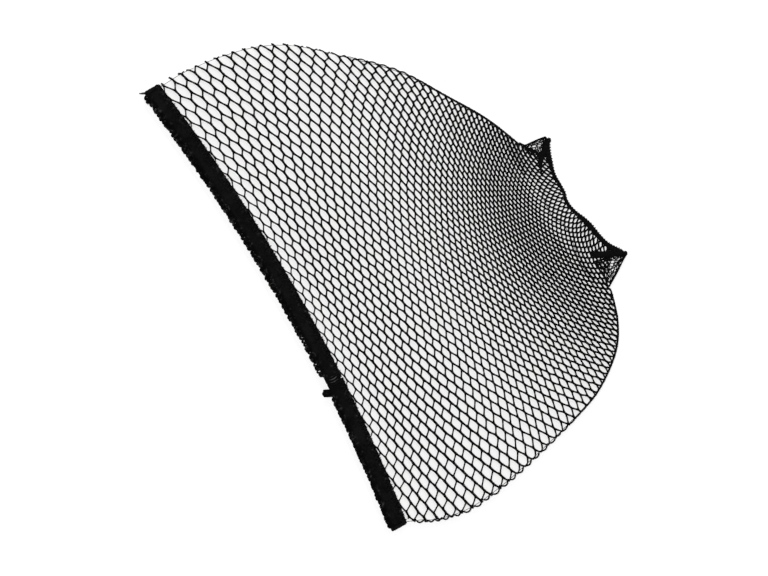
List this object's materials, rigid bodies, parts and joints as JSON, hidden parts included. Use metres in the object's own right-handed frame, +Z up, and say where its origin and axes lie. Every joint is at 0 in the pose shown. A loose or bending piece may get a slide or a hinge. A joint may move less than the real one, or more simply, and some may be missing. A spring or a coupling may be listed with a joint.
{
  "type": "fishnet wig cap on display card",
  "caption": "Black hexagonal-mesh net cap with an elastic mouth band and a closed crown seam, laid flat over a white card that slides out of the mouth.",
  "frame": {"origin": "under the middle of the part's outline, on the surface that it lies on", "axes": "+X along the mouth's band towards the corner near the band's join, +Y from the mouth to the crown seam, +Z up out of the front wall"},
  "size_m": [0.2186, 0.1428, 0.0055],
  "materials": {
    "white_card": "smooth matte white card",
    "net_yarn": "black stretch yarn, matte with a faint sheen",
    "band_knit": "dense black elastic knit, fine ribs along the band",
    "gathered_net": "black net, rolled and gathered tight",
    "sewing_thread": "black polyester sewing thread, slight sheen",
    "elastic_rubber": "covered rubber strand"
  },
  "bodies": {
    "cap": {"net_front_wall": "net_yarn", "net_back_wall": "net_yarn", "net_fold_left": "net_yarn", "net_fold_right": "net_yarn", "band_front_long": "band_knit", "band_front_short": "band_knit", "band_back": "band_knit", "band_corner_left": "band_knit", "band_strands_long": "elastic_rubber", "band_strands_short": "elastic_rubber", "band_strands_back": "elastic_rubber", "band_join_lap": "band_knit", "band_join_tail": "band_knit", "band_join_thread": "sewing_thread", "band_seam_thread_front": "sewing_thread", "band_seam_thread_back": "sewing_thread", "crown_seam_roll": "gathered_net", "crown_seam_thread": "sewing_thread", "crown_ear_left": "gathered_net", "crown_ear_right": "gathered_net", "ear_tack_left": "sewing_thread", "ear_tack_right": "sewing_thread"},
    "card": {"display_card": "white_card"}
  },
  "joints": [
    {"name": "card_slide", "type": "slide", "parent": "cap", "child": "card", "axis": [0, -1, 0], "range_m": [0, 0.13]}
  ]
}
